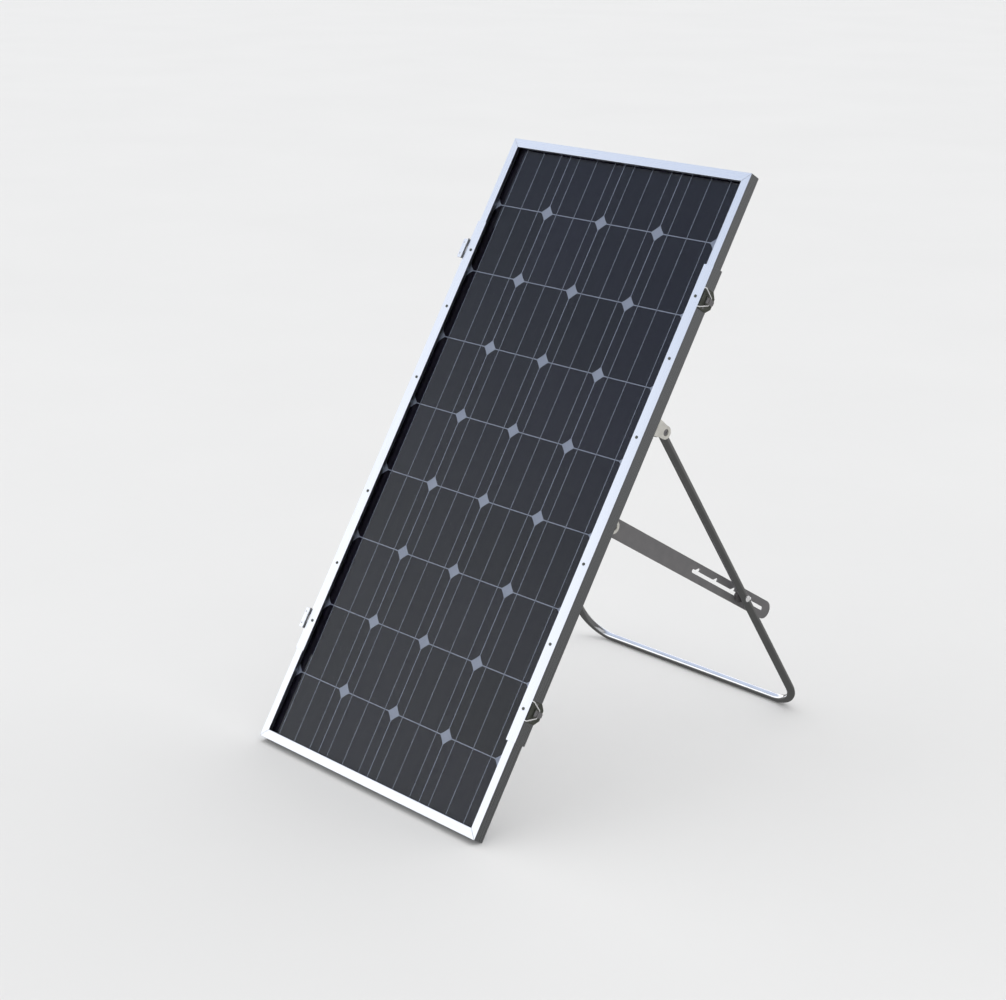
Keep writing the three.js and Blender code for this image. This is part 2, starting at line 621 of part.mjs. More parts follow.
/** A hinge on the left side: a leaf on the channel, and the leaf for the next panel. */
function hinge(level) {
  const { halfHeight, thickness, knuckleR, knuckleHalf, pinR, foldRoom } = HINGE;
  const face = -(CHANNEL_OUT + GAP);
  const axisX = face - HINGE_AXIS.out;
  const axisZ = HINGE_AXIS.front;
  const bore = rodY(pinR + GAP, [-halfHeight - 1, halfHeight + 1], axisX, axisZ, 12);

  const fixedPlate = block([face - thickness, face], [-halfHeight, halfHeight], [-20, axisZ - foldRoom]);
  const middle = block([axisX - 2 * knuckleR, face + 1], [-knuckleHalf - GAP, knuckleHalf + GAP],
    [axisZ - knuckleR - 2 * GAP, axisZ + 2 * knuckleR]);
  const fixedLeaf = cut(
    join(fixedPlate, rodY(knuckleR, [-halfHeight, halfHeight], axisX, axisZ)),
    middle,
    bore,
  );

  const tip = axisX - 13;
  const clear = axisX - knuckleR - GAP;
  const movingPlate = block([tip, clear], [-halfHeight, halfHeight], [axisZ - thickness / 2, axisZ + thickness / 2]);
  const neck = block([clear - 1, axisX], [-knuckleHalf, knuckleHalf], [axisZ - thickness / 2, axisZ + thickness / 2]);
  const screwHoles = [-13, 13].map((y) =>
    new THREE.CylinderGeometry(2, 2, 10, 14).rotateX(Math.PI / 2).translate(tip + 4.6, y, axisZ));
  const movingLeaf = cut(
    join(movingPlate, neck, rodY(knuckleR, [-knuckleHalf, knuckleHalf], axisX, axisZ)),
    bore,
    ...screwHoles,
  );

  const pin = join(
    rodY(pinR, [-halfHeight - 0.5, halfHeight + 1], axisX, axisZ, 12),
    rodY(pinR + 0.8, [halfHeight + GAP, halfHeight + 1.6], axisX, axisZ, 12),
  );
  const group = assembly(
    piece(`hinge_fixed_leaf_${level}`, fixedLeaf, ANODISED),
    piece(`hinge_moving_leaf_${level}`, movingLeaf, ANODISED),
    piece(`hinge_pin_${level}`, pin, GREY_STEEL),
  );
  group.position.y = HARDWARE_HEIGHTS[level];
  return group;
}

// -------------------------------------------------------------- the junction box
/** The junction box on the backsheet, with its lid, cable glands and bypass diodes. */
function junctionBox() {
  const { width, height, depths, wall, y } = BOX;
  const [near, far] = depths;
  const halfW = width / 2;
  const halfH = height / 2;
  const glandDepth = (near + far) / 2;
  const tray = cut(
    block([-halfW, halfW], [-halfH, halfH], [-far, -near]),
    block([-halfW + wall, halfW - wall], [-halfH + wall, halfH - wall], [-far - 1, -near - wall]),
    ...[-GLAND_X, GLAND_X].map((x) => rodY(4 + GAP, [-halfH - 1, -halfH + wall + 1], x, -glandDepth)),
  );
  const lid = join(
    block([-halfW, halfW], [-halfH, halfH], [-far - GAP - 1.5, -far - GAP]),
    block([-halfW + 3, halfW - 3], [-halfH + 3, halfH - 3], [-far - GAP - 0.5, -far + 1]),
  );
  const glands = [['left', -GLAND_X], ['right', GLAND_X]].map(([name, x]) => piece(
    `cable_gland_${name}`,
    cut(
      join(
        rodY(6, [-halfH - 18, -halfH - GAP], x, -glandDepth),
        rodY(4, [-halfH - 1, -halfH + wall + 3], x, -glandDepth),
      ),
      rodY(2.6, [-halfH - 19, -halfH + wall + 4], x, -glandDepth, 12),
    ),
    BLACK_PLASTIC,
  ));
  const floor = near + wall + GAP;
  const diodes = [['left', -22], ['right', 22]].map(([name, x]) =>
    piece(`bypass_diode_${name}`, rodY(2.7, [-5, 5], x, -floor - 2.7), BLACK_PLASTIC));
  const group = assembly(
    piece('junction_box_base', tray, BLACK_PLASTIC),
    piece('junction_box_lid', lid, BLACK_PLASTIC),
    ...glands,
    ...diodes,
  );
  group.position.y = y;
  return group;
}

// ---------------------------------------------------------------- the whole panel
/** The lean at which the frame's back bottom edge and the floor bar are level. */
function standingTilt() {
  const along = LEG_PIVOT.y - LEG_LENGTH * Math.cos(LEG_ANGLE) + HEIGHT / 2;
  const behind = LEG_PIVOT.depth + LEG_LENGTH * Math.sin(LEG_ANGLE) - DEPTH;
  return Math.atan2(behind, along) + Math.asin(TUBE_R / Math.hypot(along, behind));
}

const panel = assembly(
  laminate(),
  frame(),
  sideChannel('left'),
  sideChannel('right'),
  stand(),
  latch('lower'),
  latch('upper'),
  hinge('lower'),
  hinge('upper'),
  junctionBox(),
);
panel.rotation.x = standingTilt();

const solarPanel = assembly(panel);
solarPanel.updateMatrixWorld(true);
const extent = new THREE.Box3().setFromObject(solarPanel, true);
const middle = extent.getCenter(new THREE.Vector3());
panel.position.set(-middle.x, -middle.y, -extent.min.z);
solarPanel.updateMatrixWorld(true);

export default solarPanel;
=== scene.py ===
"""Looks for a framed solar panel that leans on a folding U-shaped tube stand.

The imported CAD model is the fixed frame. Metres, +Z up, +X across the panel. Pieces that belong to
the leaning panel are modelled flat, in the panel's own frame (x across, y up the slope, z out of
the front, z = 0 on the front face of the frame's lip), and then moved onto it.
"""

import json
import logging
import math
from contextlib import contextmanager
from dataclasses import dataclass, field
from enum import Enum
from typing import Callable, Iterator

import bmesh
import bpy
from mathutils import Euler, Matrix, Vector


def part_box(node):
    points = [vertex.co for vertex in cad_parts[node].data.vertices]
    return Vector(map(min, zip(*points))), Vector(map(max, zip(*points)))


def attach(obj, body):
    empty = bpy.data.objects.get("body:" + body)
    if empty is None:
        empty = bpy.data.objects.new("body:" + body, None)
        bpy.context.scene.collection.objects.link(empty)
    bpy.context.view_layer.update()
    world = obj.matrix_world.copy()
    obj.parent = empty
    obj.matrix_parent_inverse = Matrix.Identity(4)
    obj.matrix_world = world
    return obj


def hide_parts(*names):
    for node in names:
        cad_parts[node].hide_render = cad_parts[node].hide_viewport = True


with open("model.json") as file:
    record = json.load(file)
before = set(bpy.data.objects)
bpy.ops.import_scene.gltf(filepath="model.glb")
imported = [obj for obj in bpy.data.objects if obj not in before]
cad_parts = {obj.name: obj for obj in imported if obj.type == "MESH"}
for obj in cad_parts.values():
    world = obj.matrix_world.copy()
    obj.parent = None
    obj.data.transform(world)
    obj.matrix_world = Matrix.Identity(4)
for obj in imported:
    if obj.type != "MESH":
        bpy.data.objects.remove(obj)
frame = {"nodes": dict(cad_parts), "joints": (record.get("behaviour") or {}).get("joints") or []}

LOG = logging.getLogger("solar_panel")
MM = 0.001
# Points nearer than this are one point, and faces this close to level are one face.
MERGE_DISTANCE = 1e-6
FLAT_WITHIN = math.radians(0.5)
# Turned pieces are shaded smooth over edges that are blunter than this.
SMOOTH_BELOW = math.radians(32)
# Edges of flat pieces that are sharper than this get rounded.
SHARP_ABOVE = math.radians(35)
# From one cell to the next, across the panel and up the slope, and the array's own middle.
CELL_PITCH = (0.1605, 0.1580)
CELL_OFFSET = (-0.0074, 0.0036)


class Side(Enum):
    """Which side of the panel a piece is on, seen from the front."""

    LEFT = "left"
    RIGHT = "right"

    @property
    def sign(self) -> int:
        """-1 on the left and 1 on the right."""
        return 1 if self is Side.RIGHT else -1


class Level(Enum):
    """Which of the two latches or hinges a piece belongs to."""

    LOWER = "lower"
    UPPER = "upper"


class Grain(Enum):
    """The way an extrusion's die lines run, as a stretch of the panel's x, y and z."""

    UP_THE_SLOPE = (1.0, 0.012, 1.0)
    ACROSS = (0.012, 1.0, 1.0)
    NONE = (1.0, 1.0, 1.0)


# ------------------------------------------------------------------------- the panel's own frame
def spread(node: str, direction: Vector) -> tuple[float, float]:
    """How far a CAD node reaches along a direction.

    Args:
        node: The CAD node's name.
        direction: A unit vector in the row frame.

    Returns:
        The least and the greatest distance along the direction, in metres.
    """
    reach = [v.co.dot(direction) for v in frame["nodes"][node].data.vertices]
    return min(reach), max(reach)


@dataclass(frozen=True)
class PanelPlace:
    """The leaning panel's frame: up the slope, out of the front, and the middle of its front."""

    up: Vector
    out: Vector
    origin: Vector

    @classmethod
    def from_frame(cls) -> "PanelPlace":
        """The frame, from the hinge line and the four rails of the CAD model."""
        line = next(j for j in frame["joints"] if j["name"] == "hinge_close_lower")
        up = Vector(line["axis"]).normalized()
        across = Vector((1, 0, 0))
        out = across.cross(up)
        x = (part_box("rail_left")[0].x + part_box("rail_right")[1].x) / 2
        y = (spread("rail_bottom", up)[0] + spread("rail_top", up)[1]) / 2
        z = spread("rail_top", out)[1]
        return cls(up, out, across * x + up * y + out * z)

    @property
    def matrix(self) -> Matrix:
        """From the panel's frame to the row frame."""
        turn = Matrix((Vector((1, 0, 0)), self.up, self.out)).transposed().to_4x4()
        return Matrix.Translation(self.origin) @ turn

    def box(self, node: str) -> tuple[Vector, Vector]:
        """The lowest and the highest corner of a CAD node, in the panel's frame."""
        axes = (Vector((1, 0, 0)), self.up, self.out)
        low, high = zip(*(spread(node, axis) for axis in axes))
        shift = Vector(self.origin.dot(axis) for axis in axes)
        return Vector(low) - shift, Vector(high) - shift


PLACE = PanelPlace.from_frame()


# ------------------------------------------------------------------------------------- finishes
def linear(code: str, alpha: float = 1.0) -> tuple[float, float, float, float]:
    """The linear colour of an sRGB hex value such as "#c8c9cc".

    Args:
        code: The hex value.
        alpha: The alpha that goes with it.

    Returns:
        Red, green, blue and alpha.
    """
    shares = [int(code[i : i + 2], 16) / 255 for i in (1, 3, 5)]
    red, green, blue = (s / 12.92 if s <= 0.04045 else ((s + 0.055) / 1.055) ** 2.4 for s in shares)
    return red, green, blue, alpha


def add_node(
    tree: bpy.types.NodeTree, kind: str, inputs: dict | None = None, **settings
) -> bpy.types.Node:
    """Adds a node with its settings and links.

    Args:
        tree: The node tree.
        kind: The node's type.
        inputs: Each input socket's name or number, with a value or the socket that feeds it.
        **settings: The node's own properties.

    Returns:
        The new node.
    """
    made = tree.nodes.new(kind)
    for key, value in settings.items():
        setattr(made, key, value)
    for key, value in (inputs or {}).items():
        if isinstance(value, bpy.types.NodeSocket):
            tree.links.new(value, made.inputs[key])
        else:
            made.inputs[key].default_value = value
    return made


def panel_coordinates(
    tree: bpy.types.NodeTree, stretch: tuple[float, float, float]
) -> bpy.types.NodeSocket:
    """Object coordinates turned into the panel's frame and stretched along its grain.

    Args:
        tree: The node tree.
        stretch: How much the coordinates are scaled along the panel's x, y and z.

    Returns:
        The coordinates' socket.
    """
    place = add_node(tree, "ShaderNodeTexCoord")
    back = PLACE.matrix.inverted()
    turned = add_node(tree, "ShaderNodeMapping", {
        "Vector": place.outputs["Object"],
        "Location": back.to_translation(),
        "Rotation": back.to_euler(),
    })
    drawn = add_node(tree, "ShaderNodeMapping", {"Vector": turned.outputs[0], "Scale": stretch})
    return drawn.outputs[0]


def noise(
    tree: bpy.types.NodeTree, vector: bpy.types.NodeSocket, size_mm: float, detail: float = 2.0
) -> bpy.types.NodeSocket:
    """A noise whose lumps are about size_mm across."""
    return add_node(tree, "ShaderNodeTexNoise", {
        "Vector": vector, "Scale": 1 / (size_mm * MM), "Detail": detail,
    }).outputs["Fac"]


def between(
    tree: bpy.types.NodeTree, value: bpy.types.NodeSocket, low: float, high: float
) -> bpy.types.NodeSocket:
    """A noise's useful middle, spread from low to high."""
    return add_node(tree, "ShaderNodeMapRange", {
        "Value": value, "From Min": 0.3, "From Max": 0.7, "To Min": low, "To Max": high,
    }).outputs[0]


def blend(
    tree: bpy.types.NodeTree,
    share: bpy.types.NodeSocket,
    first: str | tuple | bpy.types.NodeSocket,
    second: str | tuple | bpy.types.NodeSocket,
) -> bpy.types.NodeSocket:
    """A mix of two colours, each a hex value, a linear colour or a socket.

    Args:
        tree: The node tree.
        share: How much of the second colour there is.
        first: The first colour.
        second: The second colour.

    Returns:
        The mix's socket.
    """
    pair = [linear(c) if isinstance(c, str) else c for c in (first, second)]
    mixed = add_node(tree, "ShaderNodeMix", {0: share, 6: pair[0], 7: pair[1]}, data_type="RGBA")
    return mixed.outputs[2]


@dataclass(frozen=True)
class Finish:
    """A surface whose colour drifts in broad patches over a fine grain.

    Attributes:
        name: What the surface is.
        slot: The record's material slot; not used here.
        colour: The surface's main colour.
        tint: The colour it drifts to.
        roughness: The least and the greatest roughness.
        metallic: 1 for bare metal.
        patch_mm: How wide the colour's patches are.
        grain_mm: How wide the grain is.
        relief_mm: How deep the grain is.
        grain: The way the grain runs.
        relief_strength: How much of the relief shows.
    """

    name: str
    slot: str
    colour: str
    tint: str
    roughness: tuple[float, float]
    metallic: float = 0.0
    patch_mm: float = 60.0
    grain_mm: float = 0.8
    relief_mm: float = 0.01
    grain: Grain = Grain.NONE
    relief_strength: float = 0.6

    def build(self) -> bpy.types.Material:
        """The material, made once and then reused."""
        found = bpy.data.materials.get(self.name)
        if found:
            return found
        material = bpy.data.materials.new(self.name)
        material.use_nodes = True
        tree = material.node_tree
        tree.nodes.clear()
        output = add_node(tree, "ShaderNodeOutputMaterial")
        tree.links.new(self.surface(tree), output.inputs["Surface"])
        return material

    def surface(self, tree: bpy.types.NodeTree) -> bpy.types.NodeSocket:
        """The surface's nodes.

        Args:
            tree: The material's node tree.

        Returns:
            The shader's output socket.
        """
        vector = panel_coordinates(tree, self.grain.value)
        patches = noise(tree, vector, self.patch_mm, 4.0)
        fine = noise(tree, vector, self.grain_mm)
        relief = add_node(tree, "ShaderNodeBump", {
            "Height": fine, "Strength": self.relief_strength, "Distance": self.relief_mm * MM,
        })
        return add_node(tree, "ShaderNodeBsdfPrincipled", {
            "Base Color": blend(tree, between(tree, patches, 0.0, 1.0), self.colour, self.tint),
            "Roughness": between(tree, fine, *self.roughness),
            "Metallic": self.metallic,
            "Normal": relief.outputs[0],
        }).outputs[0]


@dataclass(frozen=True)
class SiliconFinish(Finish):
    """Texturised monocrystalline silicon under its blue-black coating, with a printed silver grid.

    Each cell has its own shade. The fingers are drawn 0.3 mm wide, because the real 0.1 mm would
    not show. The cells are bonded to the glass, so most of the glass's mirror sheen is given here.
    """

    pitch: tuple[float, float] = CELL_PITCH
    offset: tuple[float, float] = CELL_OFFSET
    finger_pitch_mm: float = 2.4
    finger_share: float = 0.12
    silver: str = "#6d6e78"
    silver_share: float = 0.16
    shine: float = 0.38

    def surface(self, tree: bpy.types.NodeTree) -> bpy.types.NodeSocket:
        """Colour cell by cell, with fingers across it.

        Args:
            tree: The material's node tree.

        Returns:
            The shader's output socket.
        """
        vector = panel_coordinates(tree, self.grain.value)
        axes = add_node(tree, "ShaderNodeSeparateXYZ", {0: vector})
        across, along = (self.cell_number(tree, axes.outputs[i], i) for i in (0, 1))
        pair = add_node(tree, "ShaderNodeCombineXYZ", {0: across, 1: along})
        shade = add_node(tree, "ShaderNodeTexWhiteNoise", {
            "Vector": pair.outputs[0]}, noise_dimensions="2D")
        cell = blend(tree, shade.outputs["Value"], self.colour, self.tint)
        turns = add_node(tree, "ShaderNodeMath", {
            0: axes.outputs[1], 1: self.finger_pitch_mm * MM}, operation="DIVIDE")
        part = add_node(tree, "ShaderNodeMath", {0: turns.outputs[0]}, operation="FRACT")
        finger = add_node(tree, "ShaderNodeMath", {
            0: part.outputs[0], 1: self.finger_share}, operation="LESS_THAN")
        faint = add_node(tree, "ShaderNodeMath", {
            0: finger.outputs[0], 1: self.silver_share}, operation="MULTIPLY")
        return add_node(tree, "ShaderNodeBsdfPrincipled", {
            "Base Color": blend(tree, faint.outputs[0], cell, self.silver),
            "Roughness": between(tree, noise(tree, vector, self.patch_mm), *self.roughness),
            "Metallic": self.metallic,
            "Specular IOR Level": self.shine,
        }).outputs[0]

    def cell_number(
        self, tree: bpy.types.NodeTree, distance: bpy.types.NodeSocket, axis: int
    ) -> bpy.types.NodeSocket:
        """Which column or row a point is in, as a whole number.

        Args:
            tree: The node tree.
            distance: How far the point is along the axis.
            axis: 0 for the column and 1 for the row.

        Returns:
            The number's socket.
        """
        moved = add_node(tree, "ShaderNodeMath", {
            0: distance, 1: self.offset[axis] + (0 if axis == 0 else self.pitch[1] / 2)},
            operation="SUBTRACT")
        share = add_node(tree, "ShaderNodeMath", {
            0: moved.outputs[0], 1: self.pitch[axis]}, operation="DIVIDE")
        return add_node(tree, "ShaderNodeMath", {0: share.outputs[0]}, operation="FLOOR").outputs[0]


@dataclass(frozen=True)
class GlassFinish(Finish):
    """Tempered low-iron glass, faintly rippled: clear head on, and a mirror at a slant.

    The sheen near head on is on the cells and the sheet between them, which are bonded to it.
    """

    steepness: float = 8.0
    grazing: float = 0.85
    ripple_mm: float = 35.0
    ripple_strength: float = 0.25

    def surface(self, tree: bpy.types.NodeTree) -> bpy.types.NodeSocket:
        """Clear sight and a mirror, shared out by the angle of view, the same from both sides.

        Args:
            tree: The material's node tree.

        Returns:
            The shader's output socket.
        """
        vector = panel_coordinates(tree, self.grain.value)
        ripple = add_node(tree, "ShaderNodeBump", {
            "Height": noise(tree, vector, self.ripple_mm),
            "Strength": self.ripple_strength,
            "Distance": self.relief_mm * MM,
        })
        clear = add_node(tree, "ShaderNodeBsdfTransparent", {"Color": linear(self.colour)})
        mirror = add_node(tree, "ShaderNodeBsdfPrincipled", {
            "Base Color": linear(self.tint), "Metallic": 1.0,
            "Roughness": self.roughness[0], "Normal": ripple.outputs[0],
        })
        view = add_node(tree, "ShaderNodeLayerWeight", {"Blend": 0.5})
        steep = add_node(tree, "ShaderNodeMath", {
            0: view.outputs["Facing"], 1: self.steepness}, operation="POWER")
        share = add_node(tree, "ShaderNodeMath", {
            0: steep.outputs[0], 1: self.grazing}, operation="MULTIPLY")
        return add_node(tree, "ShaderNodeMixShader", {
            0: share.outputs[0], 1: clear.outputs[0], 2: mirror.outputs[0],
        }).outputs[0]


# Anodised extrusions: a pale satin metal with fine die lines along their length.
ANODISED_UP = Finish(
    "anodised_aluminium_up", "anodised_aluminium", "#d9dce2", "#cfd2d8",
    (0.24, 0.36), 1.0, 120.0, 0.9, 0.012, Grain.UP_THE_SLOPE,
)
ANODISED_ACROSS = Finish(
    "anodised_aluminium_across", "anodised_aluminium", "#d9dce2", "#cfd2d8",
    (0.24, 0.36), 1.0, 120.0, 0.9, 0.012, Grain.ACROSS,
)
# Zinc-plated sheet steel: dull grey with the faint bloom of the plating bath.
ZINC = Finish(
    "zinc_plated_steel", "zinc_steel", "#949294", "#8b8a8c",
    (0.34, 0.46), 0.5, 24.0, 1.2, 0.01,
)
# Zinc on wire and bolt heads, painted almost white as a painted highlight for their glints; half
# gloss.
GLINT_PAINTED_ZINC = Finish(
    "bright_zinc", "chrome_tube", "#f0f0f1", "#dededf",
    (0.2, 0.3), 0.25, 6.0, 0.8, 0.005,
)
# Chromed tube: almost a mirror, with hair scratches that only its roughness shows.
CHROME = Finish(
    "polished_chrome", "chrome_tube", "#d8d9dc", "#cecfd3",
    (0.07, 0.16), 1.0, 40.0, 1.5, 0.003,
)
# Black-passivated steel: a greenish dark grey, half matt.
PASSIVATED = Finish(
    "passivated_steel", "dark_steel", "#6f726a", "#5f625b",
    (0.34, 0.5), 0.6, 9.0, 0.7, 0.01,
)
# Glass-filled nylon: pale grey, moulded with a fine spark-eroded texture.
NYLON = Finish(
    "moulded_grey_nylon", "grey_nylon", "#cfcdc6", "#bdbbb4",
    (0.42, 0.58), 0.0, 18.0, 0.9, 0.03,
)
# ABS and PPO mouldings: black, with a fine texture.
BLACK_ABS = Finish(
    "moulded_black_abs", "black_plastic", "#202124", "#2b2c2f",
    (0.4, 0.58), 0.0, 22.0, 0.8, 0.03,
)
# Acetal: a self-lubricating plastic, dark grey with a waxy gloss.
ACETAL = Finish(
    "turned_grey_acetal", "black_plastic", "#5c595b", "#524f51",
    (0.36, 0.46), 0.0, 10.0, 0.8, 0.01,
)
# EPDM seal: matt black rubber with a dusty bloom.
RUBBER = Finish(
    "epdm_rubber", "seal_rubber", "#1b1c1d", "#2a2b2c",
    (0.68, 0.85), 0.0, 15.0, 0.8, 0.02,
)
# Fluoropolymer backsheet: white film with the faint emboss of the laminator.
FILM = Finish(
    "backsheet_film", "backsheet_film", "#e9eaeb", "#e0e2e4",
    (0.45, 0.6), 0.0, 90.0, 2.2, 0.02,
)
# White EVA behind the cells, which shows in the diamonds between them.
EVA = Finish("white_eva", "backsheet_film", "#a2a6b8", "#9a9eb0", (0.08, 0.1), 0.0, 60.0, 2.0, 0.01)
# Tinned copper ribbon: soft bright metal.
RIBBON = Finish(
    "tinned_copper_ribbon", "silicon_cells", "#8b8d98", "#7c7e88",
    (0.35, 0.5), 0.6, 8.0, 0.9, 0.01,
)
SILICON = SiliconFinish("textured_silicon", "silicon_cells", "#130f19", "#1b1724", (0.05, 0.08))
GLASS = GlassFinish(
    "tempered_glass", "front_glass", "#f4f6f7", "#ffffff",
    (0.02, 0.04), 0.0, relief_mm=0.05,
)


# --------------------------------------------------------------------------------- the workbench
def select_only(piece: bpy.types.Object) -> None:
    """Selects one object, makes it active and leaves all others alone."""
    if bpy.context.object and bpy.context.object.mode != "OBJECT":
        bpy.ops.object.mode_set(mode="OBJECT")
    bpy.ops.object.select_all(action="DESELECT")
    piece.select_set(True)
    bpy.context.view_layer.objects.active = piece


@contextmanager
def edit_mode(piece: bpy.types.Object, pick: str = "SELECT") -> Iterator[bmesh.types.BMesh]:
    """Edit mode on one piece, with all of it selected or none of it.

    Args:
        piece: The object to edit.
        pick: "SELECT" or "DESELECT", for the whole mesh.

    Yields:
        The mesh being edited.
    """
    select_only(piece)
    bpy.ops.object.mode_set(mode="EDIT")
    bpy.ops.mesh.select_all(action=pick)
    yield bmesh.from_edit_mesh(piece.data)
    bpy.ops.object.mode_set(mode="OBJECT")


def choose(mesh: bmesh.types.BMesh, kind: str, test: Callable[[object], bool]) -> None:
    """Selects the items of a mesh that pass a test, and nothing else.

    Args:
        mesh: The mesh being edited.
        kind: "verts", "edges" or "faces".
        test: Says whether an item is wanted.
    """
    bpy.ops.mesh.select_all(action="DESELECT")
    for item in getattr(mesh, kind):
        if test(item):
            item.select_set(True)
    mesh.select_flush_mode()


def apply_modifier(piece: bpy.types.Object, kind: str, **settings) -> None:
    """Adds a modifier with its settings and applies it.

    Args:
        piece: The object.
        kind: The modifier's type.
        **settings: The modifier's own properties.
    """
    select_only(piece)
    modifier = piece.modifiers.new(kind.lower(), kind)
    for key, value in settings.items():
        setattr(modifier, key, value)
    bpy.ops.object.modifier_apply(modifier=modifier.name)


def round_edges(piece: bpy.types.Object, width: float) -> None:
    """Rounds the sharp edges and shades the rest smooth.

    Args:
        piece: The object.
        width: The width of the rounding.
    """
    apply_modifier(piece, "BEVEL", width=width, segments=2, limit_method="ANGLE",
                   angle_limit=SHARP_ABOVE, use_clamp_overlap=True)
    select_only(piece)
    bpy.ops.object.shade_smooth_by_angle(angle=SHARP_ABOVE)
    apply_modifier(piece, "WEIGHTED_NORMAL", weight=100, keep_sharp=True)


def cut_away(piece: bpy.types.Object, tool: bpy.types.Object) -> None:
    """Cuts one solid from another and throws the tool away."""
    apply_modifier(piece, "BOOLEAN", object=tool, operation="DIFFERENCE", solver="EXACT")
    bpy.data.objects.remove(tool)


def joined(first: bpy.types.Object, *others: bpy.types.Object) -> bpy.types.Object:
    """One object that holds all of these meshes.

    Args:
        first: The object that takes the others in.
        *others: The objects that are taken in.

    Returns:
        The first object.
    """
    select_only(first)
    for other in others:
        other.select_set(True)
    bpy.ops.object.join()
    return first


def copied(piece: bpy.types.Object) -> bpy.types.Object:
    """A copy with a mesh of its own.

    Args:
        piece: The object to copy.

    Returns:
        The copy.
    """
    twin = piece.copy()
    twin.data = piece.data.copy()
    bpy.context.scene.collection.objects.link(twin)
    return twin


def cylinder(radius: float, low: float, high: float, sides: int) -> bpy.types.Object:
    """A cylinder along z.

    Args:
        radius: Its radius.
        low: Where it starts.
        high: Where it ends.
        sides: How many sides it has.

    Returns:
        The cylinder.
    """
    bpy.ops.object.select_all(action="DESELECT")
    bpy.ops.mesh.primitive_cylinder_add(vertices=sides, radius=radius, depth=high - low,
                                        location=(0, 0, (low + high) / 2))
    return bpy.context.object


def turned(profile: list[tuple[float, float]], sides: int = 40) -> bpy.types.Object:
    """A turned piece about z, drawn up ring by ring from a disc.

    Args:
        profile: Radius and height of each ring, in millimetres, from the bottom up.
        sides: How many sides each ring has.

    Returns:
        The closed piece.
    """
    rings = [(radius * MM, height * MM) for radius, height in profile]
    bpy.ops.object.select_all(action="DESELECT")
    bpy.ops.mesh.primitive_circle_add(vertices=sides, radius=rings[0][0], fill_type="NGON",
                                      location=(0, 0, rings[0][1]))
    piece = bpy.context.object
    bpy.ops.object.transform_apply(location=True, rotation=False, scale=False)
    with edit_mode(piece):
        for (radius, height), (wider, higher) in zip(rings, rings[1:]):
            step, share = (0, 0, higher - height), wider / radius
            bpy.ops.mesh.extrude_region_move(TRANSFORM_OT_translate={"value": step})
            bpy.ops.transform.resize(value=(share, share, 1), center_override=(0, 0, higher))
        bpy.ops.mesh.select_all(action="SELECT")
        bpy.ops.mesh.remove_doubles(threshold=MERGE_DISTANCE)
        bpy.ops.mesh.normals_make_consistent(inside=False)
    select_only(piece)
    bpy.ops.object.shade_smooth_by_angle(angle=SMOOTH_BELOW)
    return piece


def settle(piece: bpy.types.Object, matrix: Matrix) -> None:
    """Moves a piece and leaves its place in its mesh, with the object at the origin.

    Args:
        piece: The object.
        matrix: The move.
    """
    piece.matrix_world = matrix @ piece.matrix_world
    select_only(piece)
    bpy.ops.object.transform_apply(location=True, rotation=True, scale=True)


def deliver(
    piece: bpy.types.Object, name: str, body: str, finish: Finish, *stands_for: str
) -> bpy.types.Object:
    """Names and dresses a finished piece and puts it on its body.

    Args:
        piece: The finished object, at the origin.
        name: The piece's name.
        body: The CAD body it rides on.
        finish: Its surface.
        *stands_for: The CAD nodes it stands for.

    Returns:
        The same object.
    """
    piece.name = name
    piece.data.name = name
    piece.data.materials.clear()
    piece.data.materials.append(finish.build())
    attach(piece, body)
    if stands_for:
        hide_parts(*stands_for)
    LOG.info("%s on %s, %d faces", name, body, len(piece.data.polygons))
    return piece


def dress_node(node: str, finish: Finish) -> None:
    """Gives a CAD node that stays in view its finish.

    Args:
        node: The node's name.
        finish: Its surface.
    """
    shown = frame["nodes"][node]
    shown.data.materials.clear()
    shown.data.materials.append(finish.build())
    LOG.info("%s keeps its CAD shape", node)


def edge_broken(node: str, body: str, finish: Finish, width_mm: float) -> bpy.types.Object:
    """A copy of a CAD node with its faces merged and its edges rounded, in the node's place.

    Args:
        node: The CAD node.
        body: The body it rides on.
        finish: Its surface.
        width_mm: The width of the rounding.

    Returns:
        The new piece.
    """
    piece = bpy.data.objects.new(node + "_copy", frame["nodes"][node].data.copy())
    bpy.context.scene.collection.objects.link(piece)
    with edit_mode(piece):
        bpy.ops.mesh.remove_doubles(threshold=MERGE_DISTANCE)
        bpy.ops.mesh.dissolve_limited(angle_limit=FLAT_WITHIN)
    round_edges(piece, width_mm * MM)
    return deliver(piece, node + "_piece", body, finish, node)


def axis_frame(centre: Vector, direction: Vector) -> Matrix:
    """A frame at a point with its z along a direction, in the row frame."""
    return Matrix.Translation(centre) @ direction.to_track_quat("Z", "Y").to_matrix().to_4x4()


